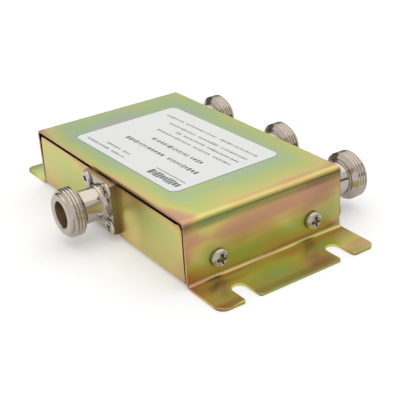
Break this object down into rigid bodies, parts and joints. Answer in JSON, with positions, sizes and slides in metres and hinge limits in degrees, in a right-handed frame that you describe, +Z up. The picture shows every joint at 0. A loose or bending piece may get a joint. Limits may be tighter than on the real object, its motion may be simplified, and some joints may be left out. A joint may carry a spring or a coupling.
{
  "type": "rf power splitter",
  "caption": "Flat folded-sheet RF power splitter box with slotted mounting feet, a flanged coaxial input jack and flanged coaxial output jacks.",
  "frame": {"origin": "centre of the bounding box's base, on the plane of the feet's undersides", "axes": "+X along the walls that carry the jacks, from output 1 to output 3; -Y out of the input jack; +Z up, out of the labelled top"},
  "size_m": [0.1258, 0.0886, 0.0214],
  "materials": {
    "passivated_zinc": "zinc-plated steel sheet with yellow iridescent passivation",
    "nickel": "bright nickel plate on turned brass",
    "nickel_screw": "nickel-plated steel screw",
    "bright_zinc": "bright zinc-plated steel",
    "ptfe": "white PTFE, turned",
    "gold": "gold-plated contact alloy",
    "label_paper": "white self-adhesive label with grey print",
    "laminate": "glass-filled microwave laminate",
    "copper": "etched copper foil",
    "resistor_body": "black chip resistor",
    "solder": "bright solder"
  },
  "bodies": {
    "root": {"cover": "passivated_zinc", "base_tray": "passivated_zinc", "label": "label_paper", "cover_screws": "bright_zinc", "cover_nuts": "bright_zinc", "input_shell": "nickel", "input_insulator": "ptfe", "input_contact": "gold", "input_flange_screws": "nickel_screw", "input_flange_nuts": "bright_zinc", "output_1_shell": "nickel", "output_1_insulator": "ptfe", "output_1_contact": "gold", "output_1_flange_screws": "nickel_screw", "output_1_flange_nuts": "bright_zinc", "output_2_shell": "nickel", "output_2_insulator": "ptfe", "output_2_contact": "gold", "output_2_flange_screws": "nickel_screw", "output_2_flange_nuts": "bright_zinc", "output_3_shell": "nickel", "output_3_insulator": "ptfe", "output_3_contact": "gold", "output_3_flange_screws": "nickel_screw", "output_3_flange_nuts": "bright_zinc", "circuit_board": "laminate", "splitter_tracks": "copper", "isolation_resistors": "resistor_body", "board_spacers": "bright_zinc", "board_screws": "bright_zinc", "solder_joints": "solder"}
  },
  "joints": []
}
